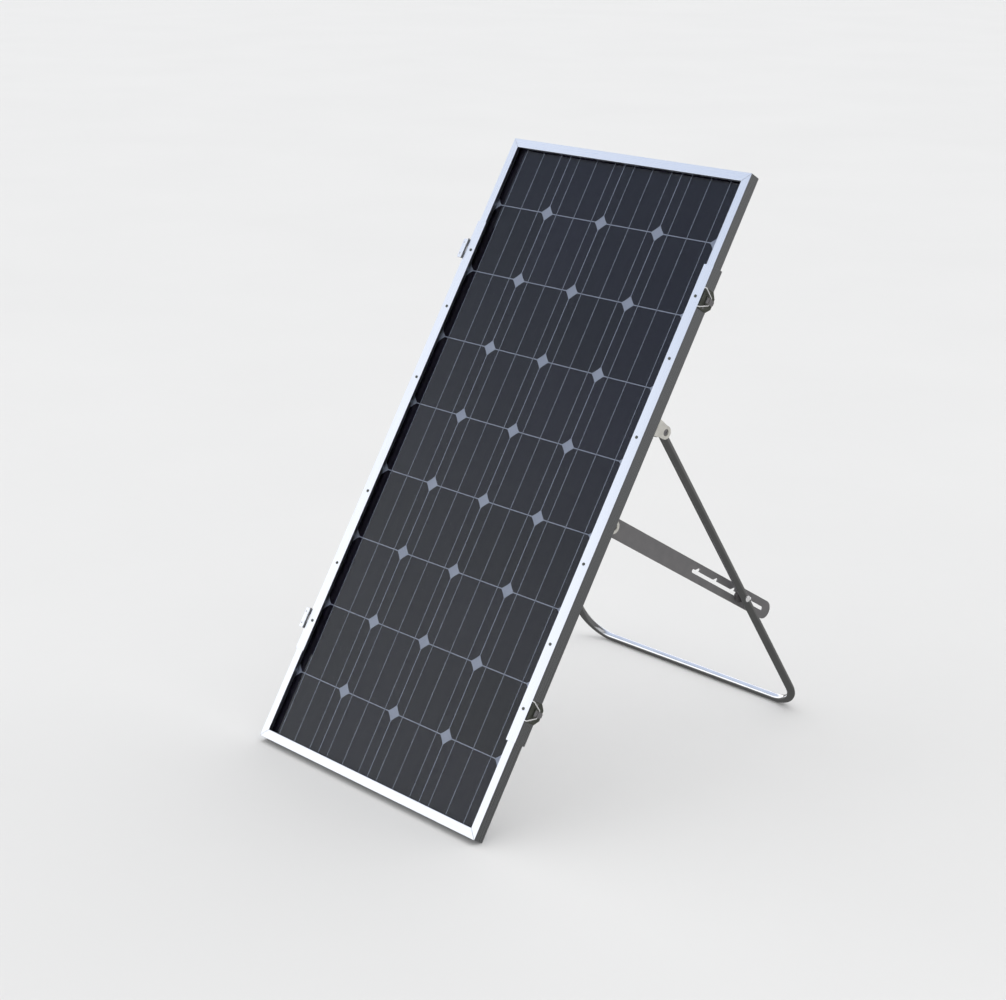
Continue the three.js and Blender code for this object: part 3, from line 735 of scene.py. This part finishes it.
# ---------------------------------------------------------------------------------- the laminate
@dataclass
class Laminate:
    """Glass, cells, their ribbons and the sheets behind them."""

    columns: int = 4
    rows: int = 9
    across: float = 0.1585
    side: float = 0.156
    corner_cut: float = 0.0158
    thickness: float = 0.0002
    border: float = 0.006
    cover: float = 0.0003
    sheet_corner: float = 0.004
    ribbon_width: float = 0.0018
    ribbon_thickness: float = 0.00015
    ribbon_dip: float = 0.0002
    dip_reach: float = 1.6
    ribbon_places: tuple[float, float, float] = (-1 / 3, 0.0, 1 / 3)

    def build(self) -> None:
        """Makes the cells and ribbons and dresses the sheets."""
        low, high = PLACE.box("cell_laminate")
        self.reach = high.y - self.border
        self.front = high.z - self.cover
        for column in range(self.columns):
            x = CELL_OFFSET[0] + (column - (self.columns - 1) / 2) * CELL_PITCH[0]
            for row in range(self.rows):
                y = CELL_OFFSET[1] + (row - (self.rows - 1) / 2) * CELL_PITCH[1]
                self.cell(f"solar_cell_{column + 1}_{row + 1}", x, y)
            for number, place in enumerate(self.ribbon_places, 1):
                self.ribbon(f"ribbon_{column + 1}_{number}", x + place * self.side)
        self.encapsulant(low, high)
        dress_node("front_glass", GLASS)
        dress_node("front_seal", RUBBER)
        dress_node("backsheet", FILM)

    def cell(self, name: str, x: float, y: float) -> None:
        """One pseudo-square cell, trimmed where it would pass the laminate's border.

        Args:
            name: The piece's name.
            x: Its middle across the panel.
            y: Its middle up the slope.
        """
        bpy.ops.object.select_all(action="DESELECT")
        bpy.ops.mesh.primitive_plane_add(size=1, location=(x, y, self.front))
        piece = bpy.context.object
        piece.scale = (self.across, self.side, 1)
        bpy.ops.object.transform_apply(location=True, rotation=False, scale=True)
        with edit_mode(piece):
            bpy.ops.mesh.bevel(offset=self.corner_cut, segments=3, profile=0.28, affect="VERTICES")
            for way in (-1, 1):
                if abs(y) + self.side / 2 > self.reach and way * y > 0:
                    bpy.ops.mesh.select_all(action="SELECT")
                    bpy.ops.mesh.bisect(plane_co=(0, way * self.reach, 0), plane_no=(0, way, 0),
                                        clear_outer=True)
        apply_modifier(piece, "SOLIDIFY", thickness=self.thickness, offset=-1)
        settle(piece, PLACE.matrix)
        deliver(piece, name, "panel", SILICON)

    def ribbon(self, name: str, x: float) -> None:
        """A ribbon that runs over a whole column and dips between its cells.

        Args:
            name: The piece's name.
            x: Its middle across the panel.
        """
        length = 2 * self.reach
        bpy.ops.object.select_all(action="DESELECT")
        face = self.front + self.ribbon_thickness
        bpy.ops.mesh.primitive_plane_add(size=1, location=(x, 0, face))
        piece = bpy.context.object
        piece.scale = (self.ribbon_width, length, 1)
        bpy.ops.object.transform_apply(location=True, rotation=False, scale=True)
        gap = (CELL_PITCH[1] - self.side) / 2
        joins = [
            CELL_OFFSET[1] + (row - self.rows / 2) * CELL_PITCH[1] for row in range(1, self.rows)
        ]
        with edit_mode(piece):
            for join in joins:
                for step in (-gap * self.dip_reach, 0, gap * self.dip_reach):
                    bpy.ops.mesh.select_all(action="SELECT")
                    bpy.ops.mesh.bisect(plane_co=(0, join + step, 0), plane_no=(0, 1, 0))
            mesh = bmesh.from_edit_mesh(piece.data)
            choose(mesh, "verts", lambda v: any(abs(v.co.y - join) < gap / 4 for join in joins))
            bpy.ops.transform.translate(value=(0, 0, -self.ribbon_dip))
        apply_modifier(piece, "SOLIDIFY", thickness=self.ribbon_thickness, offset=-1)
        settle(piece, PLACE.matrix)
        deliver(piece, name, "panel", RIBBON)

    def encapsulant(self, low: Vector, high: Vector) -> None:
        """The white sheet behind the cells, which stands for the whole cell layer.

        Args:
            low: The layer's lowest corner.
            high: The layer's highest corner.
        """
        bpy.ops.object.select_all(action="DESELECT")
        middle = (low + high) / 2
        top = self.front - self.thickness * 1.5
        bpy.ops.mesh.primitive_plane_add(size=1, location=(middle.x, middle.y, top))
        piece = bpy.context.object
        piece.scale = (high.x - low.x, high.y - low.y, 1)
        bpy.ops.object.transform_apply(location=True, rotation=False, scale=True)
        with edit_mode(piece):
            bpy.ops.mesh.bevel(offset=self.sheet_corner, segments=3, affect="VERTICES")
        apply_modifier(piece, "SOLIDIFY", thickness=top - low.z, offset=-1)
        settle(piece, PLACE.matrix)
        deliver(piece, "rear_encapsulant", "panel", EVA, "cell_laminate")


# -------------------------------------------------------------------------- frame and channels
@dataclass
class FrameAndChannels:
    """Four mitred rails, their corner keys, both side channels and the channels' screws."""

    rail_edge_mm: float = 0.4
    channel_edge_mm: float = 0.35
    screws_each_side: int = 6
    head_height: float = 0.0015
    recess_width: float = 0.0009
    recess_length: float = 0.0036
    recess_depth: float = 0.0009

    def build(self) -> None:
        """Makes the frame, then the channels and screws of each side."""
        for name, finish in (("right", ANODISED_UP), ("top", ANODISED_ACROSS),
                             ("left", ANODISED_UP), ("bottom", ANODISED_ACROSS)):
            edge_broken(f"rail_{name}", "panel", finish, self.rail_edge_mm)
        for corner in ("top_right", "top_left", "bottom_left", "bottom_right"):
            dress_node(f"corner_key_{corner}", ZINC)
        for side in Side:
            edge_broken(f"side_channel_{side.value}", "panel", ANODISED_UP, self.channel_edge_mm)
            pattern = self.screw(f"channel_screw_{side.value}_1")
            for number in range(1, self.screws_each_side + 1):
                node = f"channel_screw_{side.value}_{number}"
                low, high = PLACE.box(node)
                centre = (low + high) / 2
                screw = copied(pattern)
                settle(screw, PLACE.matrix @ Matrix.Translation((centre.x, centre.y, low.z)))
                deliver(screw, node + "_piece", "panel", PASSIVATED, node)
            bpy.data.objects.remove(pattern)

    def screw(self, node: str) -> bpy.types.Object:
        """A pan-head screw with a cross recess, standing on z = 0.

        Args:
            node: The CAD node that gives its size.

        Returns:
            The screw.
        """
        low, high = PLACE.box(node)
        head, total = (high.x - low.x) / 2 / MM, (high.z - low.z) / MM
        seat = total - self.head_height / MM
        screw = turned([(head / 2 - 0.3, 0), (head / 2, 0.4), (head / 2, seat), (head, seat),
                        (head, seat + 0.5), (head * 0.93, seat + 0.9), (head * 0.75, seat + 1.25),
                        (head * 0.45, total)], 28)
        return cross_recess(
            screw, total * MM, self.recess_length, self.recess_width, self.recess_depth)


def cross_recess(
    screw: bpy.types.Object, top: float, length: float, width: float, depth: float
) -> bpy.types.Object:
    """Cuts a cross recess into the top of a screw that stands along z.

    Args:
        screw: The screw.
        top: How high the head's top is.
        length: How long each arm of the cross is, end to end.
        width: How wide an arm is.
        depth: How deep the recess goes.

    Returns:
        The same screw.
    """
    for size in ((length, width), (width, length)):
        bpy.ops.object.select_all(action="DESELECT")
        bpy.ops.mesh.primitive_cube_add(size=1, location=(0, 0, top))
        tool = bpy.context.object
        tool.scale = (size[0], size[1], 2 * depth)
        bpy.ops.object.transform_apply(location=True, rotation=False, scale=True)
        with edit_mode(tool, "DESELECT") as mesh:
            choose(mesh, "faces", lambda f: f.normal.z < -0.5)
            bpy.ops.transform.resize(value=(0.6, 0.6, 1), center_override=(0, 0, top - depth))
        cut_away(screw, tool)
    select_only(screw)
    bpy.ops.object.shade_smooth_by_angle(angle=SMOOTH_BELOW)
    return screw


# ------------------------------------------------------------------------------------- the stand
@dataclass
class LegTube:
    """The bent chrome tube: down one side, across the floor and up the other."""

    radius: float = 0.009
    wall: float = 0.0015
    bend: float = 0.070
    tail: float = 0.012
    sides: int = 48
    bend_steps: int = 18

    def build(self) -> None:
        """Draws the tube along its path, in a frame at the pivot line with y up the leg."""
        pivot = Vector(next(j for j in frame["joints"] if j["name"] == "leg_fold")["pos_m"])
        low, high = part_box("leg_tube")
        bar = Vector((pivot.x, high.y - self.radius, low.z + self.radius))
        length = (pivot - bar).length
        half = (high.x - low.x) / 2 - self.radius
        straight = length - self.bend
        bpy.ops.object.select_all(action="DESELECT")
        bpy.ops.mesh.primitive_circle_add(
            vertices=self.sides, radius=self.radius,
            location=(half, self.tail, 0), rotation=(math.pi / 2, 0, 0))
        tube = bpy.context.object
        bpy.ops.object.transform_apply(location=True, rotation=True, scale=False)
        with edit_mode(tube):
            self.draw((0, -straight - self.tail, 0))
            self.turn((half - self.bend, -straight, 0))
            self.draw((-2 * (half - self.bend), 0, 0))
            self.turn((self.bend - half, -straight, 0))
            self.draw((0, straight + self.tail, 0))
            bpy.ops.mesh.select_all(action="SELECT")
            bpy.ops.mesh.remove_doubles(threshold=MERGE_DISTANCE)
            bpy.ops.mesh.normals_make_consistent(inside=False)
        self.face_outwards(tube)
        apply_modifier(tube, "SOLIDIFY", thickness=self.wall, offset=-1, use_even_offset=True)
        select_only(tube)
        bpy.ops.object.shade_smooth_by_angle(angle=math.radians(40))
        up = (pivot - bar).normalized()
        across = Vector((1, 0, 0))
        turn = Matrix((across, up, across.cross(up))).transposed().to_4x4()
        settle(tube, Matrix.Translation(pivot) @ turn)
        deliver(tube, "leg_tube_bent", "leg_stand", CHROME, "leg_tube")

    def draw(self, step: tuple[float, float, float]) -> None:
        """Draws the open end on in a straight line."""
        bpy.ops.mesh.extrude_region_move(TRANSFORM_OT_translate={"value": step})

    def turn(self, centre: tuple[float, float, float]) -> None:
        """Turns the open end a quarter round a centre, in the plane of the leg."""
        bpy.ops.mesh.spin(steps=self.bend_steps, angle=math.pi / 2, center=centre, axis=(0, 0, 1))

    def face_outwards(self, tube: bpy.types.Object) -> None:
        """Flips the open tube if its faces point at its own centre line."""
        if max(tube.data.polygons, key=lambda face: face.center.x).normal.x < 0:
            with edit_mode(tube):
                bpy.ops.mesh.flip_normals()


@dataclass
class Stand:
    """Brackets, bolts, the tube, its rivets, the slotted stays and their studs."""

    bracket_edge_mm: float = 0.9
    stay_edge_mm: float = 0.35
    shank_mm: float = 4.0
    head_mm: tuple[float, float] = (6.5, 2.2)
    nut_mm: tuple[float, float] = (7.2, 5.0)
    socket_mm: tuple[float, float] = (2.9, 1.5)
    tube: LegTube = field(default_factory=LegTube)

    def build(self) -> None:
        """Makes the tube, then each side's brackets, bolts, stay, stud and rivet."""
        self.tube.build()
        for side in Side:
            for kind in ("leg", "stay"):
                edge_broken(f"{kind}_bracket_{side.value}", "panel", NYLON, self.bracket_edge_mm)
                self.bolt(f"{kind}_bolt_{side.value}", side)
            edge_broken(f"stay_{side.value}", f"stay_arm_{side.value}", ZINC, self.stay_edge_mm)
            self.stud(side)
            self.rivet(side)

    def on_axis(self, node: str, side: Side) -> tuple[Matrix, float]:
        """Where a turned node starts and how long it is.

        Args:
            node: The node's name.
            side: Its side of the panel.

        Returns:
            The frame at its inner end, with z outwards, and its length.
        """
        low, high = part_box(node)
        middle = (low + high) / 2
        inner = low.x if side is Side.RIGHT else high.x
        start = Vector((inner, middle.y, middle.z))
        return axis_frame(start, Vector((side.sign, 0, 0))), high.x - low.x

    def bolt(self, node: str, side: Side) -> None:
        """A button-head bolt with a hex socket outside and a hex nut inside.

        Args:
            node: The CAD node it stands for.
            side: Its side of the panel.
        """
        matrix, length = self.on_axis(node, side)
        length /= MM
        radius, height = self.head_mm
        seat = length - height
        shank = self.shank_mm
        bolt = turned([
            (shank - 0.6, 0), (shank, 0.6), (shank, seat), (radius, seat),
            (radius, seat + 0.7), (radius * 0.94, seat + 1.3), (radius * 0.8, seat + 1.8),
            (radius * 0.6, length),
        ])
        socket, depth = self.socket_mm
        cut_away(bolt, cylinder(socket * MM, (length - depth) * MM, (length + 1) * MM, 6))
        select_only(bolt)
        bpy.ops.object.shade_smooth_by_angle(angle=SMOOTH_BELOW)
        corner, thick = self.nut_mm
        nut = cylinder(corner * MM, 0.4 * MM, thick * MM, 6)
        round_edges(nut, 0.4 * MM)
        bolt = joined(bolt, nut)
        settle(bolt, matrix)
        deliver(bolt, node + "_piece", "panel", ZINC, node)

    def stud(self, side: Side) -> None:
        """The stud: a chamfered inner cap, a shoulder in the slot and a spacer disc.

        Args:
            side: Its side of the panel.
        """
        node = f"slot_slider_{side.value}"
        matrix, length = self.on_axis(node, side)
        end = length / MM
        stud = turned([(5.2, 0), (6.4, 0.3), (8, 1.6), (8, 3.9), (7.6, 4.2), (3.6, 4.2), (3.6, 7.8),
                       (12.6, 7.8), (13, 8.2), (13, end - 1.2), (12.6, end - 0.5), (11.6, end)], 56)
        settle(stud, matrix)
        deliver(stud, node + "_piece", f"stud_{side.value}", ACETAL, node)

    def rivet(self, side: Side) -> None:
        """A rivet with a round head on the outside of the tube.

        Args:
            side: Its side of the panel.
        """
        node = f"leg_rivet_{side.value}"
        matrix, length = self.on_axis(node, side)
        end, dome, radius = length / MM, 2.6, 7.0
        seat = end - dome
        arc = [math.radians(a) for a in (8, 22, 38, 55, 72, 84)]
        profile = [(3.5, 0), (3.5, seat), (radius, seat)]
        profile += [(radius * math.cos(a), seat + dome * math.sin(a)) for a in arc]
        rivet = turned(profile)
        settle(rivet, matrix)
        # The rivet head is painted almost white: a painted highlight for its glint.
        deliver(rivet, node + "_piece", "leg_stand", GLINT_PAINTED_ZINC, node)


# --------------------------------------------------------------------------- latches and hinges
@dataclass
class SideHardware:
    """The draw latches on the right and the hinges on the left."""

    plate_edge_mm: float = 0.35
    lever_edge_mm: float = 0.3
    leaf_edge_mm: float = 0.25
    pin_edge_mm: float = 0.2
    plate_thickness: float = 0.0023
    screw_step: float = 0.0165
    screw_depth: float = 0.0235
    recess: tuple[float, float, float] = (0.0026, 0.0006, 0.0006)

    def build(self) -> None:
        """Makes both latches and both hinges."""
        for level in Level:
            name = level.value
            edge_broken(f"latch_plate_{name}", "panel", PASSIVATED, self.plate_edge_mm)
            edge_broken(f"latch_lever_{name}", f"lever_{name}", ZINC, self.lever_edge_mm)
            self.wire(f"latch_bail_{name}", f"bail_{name}")
            edge_broken(f"hinge_fixed_leaf_{name}", "panel", ANODISED_UP, self.leaf_edge_mm)
            edge_broken(f"hinge_moving_leaf_{name}", f"leaf_{name}", ANODISED_UP, self.leaf_edge_mm)
            edge_broken(f"hinge_pin_{name}", "panel", ZINC, self.pin_edge_mm)
            self.screws(level)

    def wire(self, node: str, body: str) -> None:
        """The bail's wire, with its faces merged and shaded round.

        Args:
            node: The CAD node it stands for.
            body: The body it rides on.
        """
        piece = bpy.data.objects.new(node, frame["nodes"][node].data.copy())
        bpy.context.scene.collection.objects.link(piece)
        with edit_mode(piece):
            bpy.ops.mesh.remove_doubles(threshold=MERGE_DISTANCE)
            bpy.ops.mesh.dissolve_limited(angle_limit=FLAT_WITHIN)
        select_only(piece)
        bpy.ops.object.shade_smooth_by_angle(angle=math.radians(60))
        # The wire is painted almost white: a painted highlight for its glints.
        deliver(piece, node + "_piece", body, GLINT_PAINTED_ZINC, node)

    def screws(self, level: Level) -> None:
        """Two screws in a latch plate, above and below the lever.

        Args:
            level: Which latch it is.
        """
        low, high = PLACE.box(f"latch_plate_{level.value}")
        centre_y = (low.y + high.y) / 2
        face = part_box(f"side_channel_{Side.RIGHT.value}")[1].x + self.plate_thickness
        for number, step in enumerate((-self.screw_step, self.screw_step), 1):
            screw = turned([(2.6, 0), (2.6, 0.4), (2.3, 0.8), (1.5, 1.15), (0.7, 1.25)], 24)
            screw = cross_recess(screw, 1.25 * MM, *self.recess)
            flat = Vector((face - PLACE.origin.x, centre_y + step, low.z + self.screw_depth))
            spot = PLACE.matrix @ flat
            settle(screw, axis_frame(spot, Vector((1, 0, 0))))
            deliver(screw, f"latch_screw_{level.value}_{number}", "panel", ZINC)


# --------------------------------------------------------------------------- the junction box
@dataclass
class JunctionBox:
    """The box on the back, its lid and screws, and its cable glands."""

    base_edge_mm: float = 0.6
    lid_edge_mm: float = 0.45
    screw_inset: float = 0.008
    recess: tuple[float, float, float] = (0.0032, 0.0008, 0.0008)
    gland_mm: float = 6.0
    gland_bore_mm: float = 2.6
    gland_head_mm: float = 17.7

    def build(self) -> None:
        """Makes the base, lid, screws and glands."""
        edge_broken("junction_box_base", "panel", BLACK_ABS, self.base_edge_mm)
        edge_broken("junction_box_lid", "panel", BLACK_ABS, self.lid_edge_mm)
        low, high = PLACE.box("junction_box_lid")
        number = 0
        for x in (low.x + self.screw_inset, high.x - self.screw_inset):
            for y in (low.y + self.screw_inset, high.y - self.screw_inset):
                number += 1
                screw = turned([(3.0, 0), (3.0, 0.5), (2.6, 1.0), (1.6, 1.4), (0.8, 1.5)], 24)
                screw = cross_recess(screw, 1.5 * MM, *self.recess)
                over = Euler((math.pi, 0, 0)).to_matrix().to_4x4()
                back = Matrix.Translation((x, y, low.z)) @ over
                settle(screw, PLACE.matrix @ back)
                deliver(screw, f"lid_screw_{number}", "panel", ZINC)
        for side in Side:
            self.gland(side)
            dress_node(f"bypass_diode_{side.value}", BLACK_ABS)

    def gland(self, side: Side) -> None:
        """A cable gland: a hex flange, a collar and a round-nosed nut, pointing down the slope.

        Args:
            side: Its side of the panel.
        """
        node = f"cable_gland_{side.value}"
        low, high = PLACE.box(node)
        length, size = (high.y - low.y) / MM, self.gland_mm
        centre = Vector(((low.x + high.x) / 2, high.y, (low.z + high.z) / 2))
        stem = length - self.gland_head_mm
        body = turned([
            (4, 0), (4, stem), (size * 0.98, stem), (size * 0.98, stem + 3.6),
            (size * 0.8, stem + 4), (size * 0.8, stem + 6), (size * 0.98, stem + 6.3),
            (size * 0.98, stem + 12.5), (size * 0.9, stem + 14.6), (size * 0.72, stem + 16.4),
            (size * 0.55, length),
        ])
        cut_away(body, cylinder(self.gland_bore_mm * MM, -1 * MM, (length + 1) * MM, 24))
        flange = cylinder(size * MM, (stem + 0.1) * MM, (stem + 3.6) * MM, 6)
        round_edges(flange, 0.3 * MM)
        cut_away(flange, cylinder(size * 0.9 * MM, 0, length * MM, 24))
        select_only(body)
        bpy.ops.object.shade_smooth_by_angle(angle=SMOOTH_BELOW)
        gland = joined(body, flange)
        down = axis_frame(centre, Vector((0, -1, 0)))
        settle(gland, PLACE.matrix @ down)
        deliver(gland, node + "_piece", "panel", BLACK_ABS, node)


# ------------------------------------------------------------------------------------ the studio
def bearing(turn_deg: float, rise_deg: float) -> Vector:
    """A unit vector by its turn from straight in front of the panel and its rise.

    Args:
        turn_deg: The turn, in degrees, towards the panel's right.
        rise_deg: The rise above level, in degrees.

    Returns:
        The vector, in the row frame.
    """
    turn, rise = math.radians(turn_deg), math.radians(rise_deg)
    level = math.cos(rise)
    return Vector((math.sin(turn) * level, -math.cos(turn) * level, math.sin(rise)))


@dataclass(frozen=True)
class SoftSun:
    """A wide, soft light: its strength, its width and where it stands, in degrees."""

    name: str
    strength: float
    width: float
    turn: float
    rise: float


@dataclass
class Studio:
    """Camera, pale floor, soft light and the surroundings that the metal mirrors."""

    target: tuple[float, float, float] = (-0.087, -0.131, 0.522)
    distance: float = 4.519
    azimuth: float = 47.58
    elevation: float = 17.17
    roll: float = 0.26
    lens: float = 76.8
    shift: tuple[float, float] = (0.035, 0.0)
    floor_radius: float = 60.0
    backdrop: str = "#ededed"
    suns: tuple[SoftSun, ...] = (
        SoftSun("key", 0.6, 80, -60, 52),
        SoftSun("rim", 0.8, 90, 140, 50),
    )

    def build(self) -> None:
        """Sets the whole studio."""
        self.camera()
        self.floor()
        self.lights()
        self.surroundings()
        bpy.context.scene.view_settings.view_transform = "Standard"

    def camera(self) -> None:
        """The camera, by its angles round a point on the panel."""
        back = bearing(self.azimuth, self.elevation)
        data = bpy.data.cameras.new("camera")
        data.lens, data.sensor_width = self.lens, 36.0
        data.shift_x, data.shift_y = self.shift
        data.clip_end = 200.0
        camera = bpy.data.objects.new("camera", data)
        bpy.context.scene.collection.objects.link(camera)
        camera.location = Vector(self.target) + back * self.distance
        level = (-back).to_track_quat("-Z", "Y").to_matrix()
        tip = Matrix.Rotation(math.radians(self.roll), 3, "Z")
        camera.rotation_euler = (level @ tip).to_euler()
        bpy.context.scene.camera = camera

    def floor(self) -> None:
        """A wide pale floor that the metal doesn't mirror."""
        bpy.ops.object.select_all(action="DESELECT")
        bpy.ops.mesh.primitive_circle_add(vertices=96, radius=self.floor_radius, fill_type="NGON")
        floor = bpy.context.object
        floor.name = "studio_floor"
        floor.visible_glossy = False
        paint = Finish(
            "matt_studio_paint", "", "#e2e2e2", "#e0e0e0", (0.85, 0.95), 0.0, 900.0, 40.0, 0.0)
        floor.data.materials.append(paint.build())

    def lights(self) -> None:
        """A broad key from the left and a rim light from behind on the right, both as soft suns."""
        for sun in self.suns:
            data = bpy.data.lights.new(sun.name, "SUN")
            data.energy, data.angle = sun.strength, math.radians(sun.width)
            lamp = bpy.data.objects.new(sun.name, data)
            bpy.context.scene.collection.objects.link(lamp)
            back = bearing(sun.turn, sun.rise)
            lamp.rotation_euler = back.to_track_quat("Z", "Y").to_euler()
            lamp.visible_glossy = False

    def surroundings(self) -> None:
        """A dark room with a bright wall on the left that turns blue higher up."""
        world = bpy.data.worlds.new("studio")
        bpy.context.scene.world = world
        world.use_nodes = True
        tree = world.node_tree
        tree.nodes.clear()
        way = add_node(tree, "ShaderNodeTexCoord")
        axes = add_node(tree, "ShaderNodeSeparateXYZ", {0: way.outputs["Generated"]})
        left = self.ramp(tree, axes.outputs[0], 0.25, -0.45)
        above = self.ramp(tree, axes.outputs[2], -0.02, 0.06)
        high = self.ramp(tree, axes.outputs[2], 0.36, 0.57)
        lit = add_node(tree, "ShaderNodeMath", {0: left, 1: above}, operation="MULTIPLY")
        wall = blend(tree, high, (1.75, 1.75, 1.75, 1), (0.82, 0.92, 1.12, 1))
        low = self.ramp(tree, axes.outputs[2], -0.5, -0.2)
        dark = blend(tree, low, (0.11, 0.11, 0.105, 1), (0.19, 0.187, 0.18, 1))
        room = blend(tree, lit.outputs[0], dark, wall)
        seen = add_node(tree, "ShaderNodeLightPath")
        soft = blend(tree, seen.outputs["Is Diffuse Ray"], room, (0.75, 0.75, 0.75, 1))
        shown = blend(tree, seen.outputs["Is Camera Ray"], soft, self.backdrop)
        light = add_node(tree, "ShaderNodeBackground", {"Color": shown, "Strength": 1.0})
        output = add_node(tree, "ShaderNodeOutputWorld")
        tree.links.new(light.outputs[0], output.inputs["Surface"])

    def ramp(
        self, tree: bpy.types.NodeTree, value: bpy.types.NodeSocket, start: float, end: float
    ) -> bpy.types.NodeSocket:
        """A soft step from 0 at start to 1 at end."""
        return add_node(tree, "ShaderNodeMapRange", {
            "Value": value, "From Min": start, "From Max": end,
        }, interpolation_type="SMOOTHSTEP").outputs[0]


def main() -> None:
    """Builds every sub-assembly in order."""
    logging.basicConfig(level=logging.INFO, format="%(message)s")
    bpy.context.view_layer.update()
    for assembly in (
        Studio(), Laminate(), FrameAndChannels(), Stand(), SideHardware(), JunctionBox()
    ):
        LOG.info("== %s", type(assembly).__name__)
        assembly.build()


if __name__ == "__main__":
    main()
